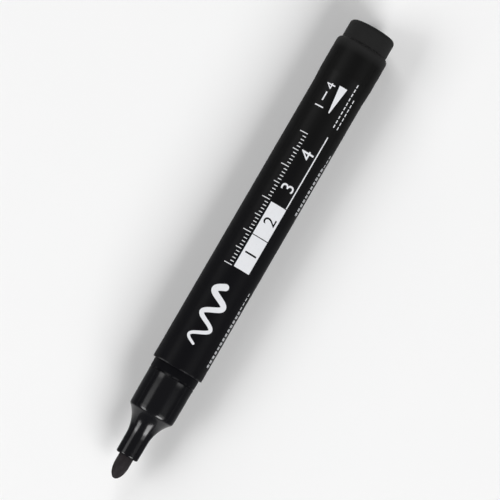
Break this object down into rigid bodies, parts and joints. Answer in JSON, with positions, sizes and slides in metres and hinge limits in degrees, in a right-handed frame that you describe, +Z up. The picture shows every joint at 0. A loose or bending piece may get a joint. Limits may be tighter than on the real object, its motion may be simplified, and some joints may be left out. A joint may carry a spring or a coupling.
{
  "type": "alcohol marker",
  "caption": "Uncapped felt-tip marker with a bullet nib, a flared glossy nose, a stepped cap neck, a long round barrel over a fibre ink reservoir, and a push-in tail plug.",
  "frame": {"origin": "on the floor under the middle of the marker's length, as it lies on its side", "axes": "+X along the barrel's axis towards the nib, +Z up"},
  "size_m": [0.1378, 0.015, 0.015],
  "materials": {
    "barrel_satin": "satin moulded black with white printing",
    "holder_gloss": "polished black",
    "nib_felt": "pressed fibre soaked with black ink",
    "ink_fibre": "bundled fibre soaked with black ink",
    "wrap_film": "thin clear film, milky",
    "plug_matte": "fine matte texture",
    "print_white": "screen-printed white ink on the barrel"
  },
  "bodies": {
    "barrel": {"barrel": "barrel_satin", "ink_reservoir": "ink_fibre", "reservoir_wrap": "wrap_film"},
    "nib_holder": {"nib_holder": "holder_gloss"},
    "nib": {"nib": "nib_felt"},
    "tail_plug": {"tail_plug": "plug_matte"}
  },
  "joints": [
    {"name": "holder_pull", "type": "slide", "parent": "barrel", "child": "nib_holder", "axis": [1, 0, 0], "range_m": [0, 0.015]},
    {"name": "nib_pull", "type": "slide", "parent": "nib_holder", "child": "nib", "axis": [1, 0, 0], "range_m": [0, 0.038]},
    {"name": "plug_pull", "type": "slide", "parent": "barrel", "child": "tail_plug", "axis": [-1, 0, 0], "range_m": [0, 0.014]}
  ]
}
